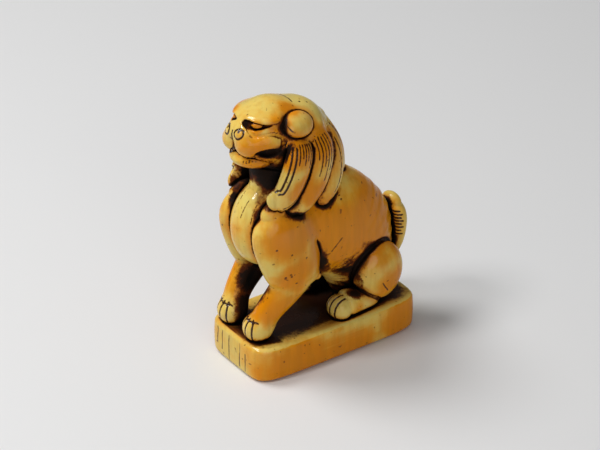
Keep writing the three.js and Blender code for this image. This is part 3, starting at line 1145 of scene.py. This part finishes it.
def old_ivory():
    """Cream ivory turned amber by handling, with russet to black stain and painted shade in its recesses.
    """
    make = Maker("old_ivory")
    grain = make.noise(1100.0, 2.0, 0.5, make.stretched((1.0, 1.0, 0.1)))
    band = make.noise(420.0, 2.0, 0.5, make.stretched((1.0, 1.0, 0.16)))
    cloud = make.noise(170.0, 4.0, 0.6)
    speck = make.noise(1600.0, 3.0, 0.7)
    ragged = (speck - 0.5) * 0.5 + (cloud - 0.5) * 0.6
    # The grime and painted shade patches, kept where the far sky is closed.
    patched_soil_and_shade = make.attribute("soil_and_shade_patches")
    soil_and_shade = patched_soil_and_shade * make.ease(make.attribute("far_sky"), 1.05, 0.8)
    near = make.attribute("near_sky") - soil_and_shade * 0.2
    far = make.attribute("far_sky") - soil_and_shade * 0.35
    seam = make.attribute("seam_gap")
    line = make.attribute("line_gap")
    creased = make.ease(make.attribute("near_sky") - patched_soil_and_shade * 0.1, 1.0, 0.88)
    fields = {"soil_and_shade": soil_and_shade, "near": near, "far": far}

    # Seam stain, darkened further as painted shade where the near or far sky is closed or the grime and
    # shade patches lie.
    def stained(by_seam, by_fields):
        widened, raggedness, start, full = by_seam
        amount = make.ease(seam + ragged * raggedness - patched_soil_and_shade * widened, start, full) * creased
        for name, (raggedness, start, full) in by_fields.items():
            amount = amount.greatest(make.ease(fields[name] + ragged * raggedness, start, full))
        return amount

    clouded = make.attribute("patina") + (cloud - 0.5) * 1.1 + (band - 0.5) * 0.25
    amber = make.ease(clouded, -0.3, 0.75)
    colour = make.mix(amber, CREAM, HONEY)
    colour = make.mix(make.ease(amber + (band - 0.5) * 0.5, 0.25, 1.1) * 0.95, colour, ORANGE)
    colour = make.mix(make.ease(grain + amber * 0.12, 0.5, 0.75) * 0.2, colour, STREAK)
    colour = make.mix(make.ease(make.noise(1500.0, 0.0), 0.78, 0.83) * 0.7, colour, RUSSET)

    # Orange beside seams as stain, and orange as painted shade where the far or near sky is closed.
    shade = make.ease(far + ragged * 0.35, 0.78, 0.42)
    edge = make.ease(near + ragged * 0.35, 0.92, 0.66)
    warm = make.ease(seam + ragged * 0.9 - soil_and_shade, 1.2, 0.15).greatest(edge * 0.8).greatest(shade * 0.8)
    colour = make.mix(warm * 0.62, colour, ORANGE)
    ground = make.ease(make.attribute("inset") + ragged * 3.0, 1.5, 3.0)
    brown = make.ease(line + (speck - 0.5) * 0.1, 0.11, 0.01)
    # Russet, then umber: seam stain, with painted shade from the closed sky and from the grime and shade
    # patches.
    russet_soil_and_shade = stained(RUSSET_BY_SEAM, RUSSET_BY)
    colour = make.mix(russet_soil_and_shade.greatest(brown * 0.85).greatest(ground), colour, RUSSET)
    scored = make.ease(line + (speck - 0.5) * 0.05, 0.07, 0.0)
    umber_soil_and_shade = stained(UMBER_BY_SEAM, UMBER_BY)
    colour = make.mix(umber_soil_and_shade.greatest(scored * 0.9).greatest(ground * 0.9), colour, UMBER)
    # Painted shade: near black deep in closed cavities, such as between the legs.
    colour = make.mix(make.ease(far + ragged * 0.2, 0.34, 0.12), colour, CAVITY_SHADE_BLACK)

    height = grain * 0.3 + speck * 0.2 + russet_soil_and_shade * speck * 0.8
    bump = make.node("ShaderNodeBump", None, {"Strength": 0.2, "Distance": 0.00006, "Height": height})
    dullness = 0.2 + russet_soil_and_shade * 0.3 + (cloud - 0.5) * 0.14
    shader = make.node("ShaderNodeBsdfPrincipled", {"subsurface_method": "RANDOM_WALK"}, {
        "Base Color": colour,
        "Roughness": dullness,
        "IOR": 1.54,
        "Specular IOR Level": 0.06,
        "Normal": bump,
        "Subsurface Weight": 0.05,
        "Subsurface Radius": (1.0, 0.5, 0.2),
        "Subsurface Scale": 0.0006,
        "Coat Weight": (0.25 + make.attribute("polish") * 0.6) * (1 - russet_soil_and_shade),
        "Coat Roughness": 0.1,
    })
    return make.finish(shader)


TABLE_GREY = (0.74, 0.74, 0.74, 1)


def pale_table():
    make = Maker("pale_table")
    shader = make.node("ShaderNodeBsdfPrincipled", None, {"Base Color": TABLE_GREY, "Roughness": 0.6})
    return make.finish(shader)


# The stage: the camera in degrees, millimetres and pixels
CAMERA_AZIMUTH = 55.0
CAMERA_ELEVATION = 31.0
CAMERA_DISTANCE = 480.0
PIXELS_PER_MM = 6.26
ORIGIN_PIXEL = (314.2, 335.4)
PICTURE = (600, 450)
SENSOR = 36.0

# Metres towards the camera, to its right and up from the figure's middle; size in metres; watts
LIGHTS = {
    "key": (0.14, -0.26, 0.36, 0.08, 0.7),
    "side": (-0.078, -0.237, 0.4, 0.2, 1.3),
    "fill": (0.45, 0.1, 0.15, 0.4, 0.5),
    "top": (0.12, -0.05, 0.45, 0.5, 0.3),
}
FIGURE_MIDDLE = 0.025
ROOM_BRIGHTNESS = 0.15
TABLE_HALF = 1.2


def view_axes():
    """The camera's right, up and back directions."""
    azimuth, elevation = math.radians(CAMERA_AZIMUTH), math.radians(CAMERA_ELEVATION)
    flat = math.cos(elevation)
    back = Vector((math.sin(azimuth) * flat, -math.cos(azimuth) * flat, math.sin(elevation)))
    right = Vector((math.cos(azimuth), math.sin(azimuth), 0))
    return right, back.cross(right), back


def add_camera():
    right, up, back = view_axes()
    aside = (PICTURE[0] / 2 - ORIGIN_PIXEL[0]) / PIXELS_PER_MM
    above = (ORIGIN_PIXEL[1] - PICTURE[1] / 2) / PIXELS_PER_MM
    place = (back * CAMERA_DISTANCE + right * aside + up * above) / MM
    data = bpy.data.cameras.new("camera")
    data.sensor_width = SENSOR
    data.lens = CAMERA_DISTANCE * PIXELS_PER_MM * SENSOR / PICTURE[0]
    data.clip_start = 0.01
    camera = bpy.data.objects.new("camera", data)
    turn = Matrix((right, up, back)).transposed().to_4x4()
    camera.matrix_world = Matrix.Translation(place) @ turn
    bpy.context.scene.collection.objects.link(camera)
    bpy.context.scene.camera = camera


def add_floor():
    corners = TABLE_HALF * np.array([(-1, -1, 0), (1, -1, 0), (1, 1, 0), (-1, 1, 0)])
    floor = add_object("floor", new_mesh("floor", corners, np.array([[0, 1, 2, 3]])))
    floor.data.materials.append(pale_table())


def add_light(name, place, target, size, power):
    data = bpy.data.lights.new(name, "AREA")
    data.shape = "DISK"
    data.size = size
    data.energy = power
    light = bpy.data.objects.new(name, data)
    light.location = place
    light.rotation_euler = (target - place).to_track_quat("-Z", "Y").to_euler()
    bpy.context.scene.collection.objects.link(light)


def add_lights():
    right, up, back = view_axes()
    middle = Vector((0, 0, FIGURE_MIDDLE))
    level = Vector((back.x, back.y, 0)).normalized()
    for name, (towards, aside, above, size, power) in LIGHTS.items():
        place = middle + level * towards + right * aside + Vector((0, 0, above))
        add_light(name, place, middle, size, power)
    world = bpy.data.worlds.new("room")
    world.use_nodes = True
    surroundings = world.node_tree.nodes["Background"]
    surroundings.inputs["Color"].default_value = (1, 1, 1, 1)
    surroundings.inputs["Strength"].default_value = ROOM_BRIGHTNESS
    bpy.context.scene.world = world
    bpy.context.scene.view_settings.view_transform = "Standard"


add_camera()
add_floor()
add_lights()
netsuke = lion_dog()
netsuke.data.materials.clear()
netsuke.data.materials.append(old_ivory())
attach(netsuke, "root")
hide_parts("netsuke")
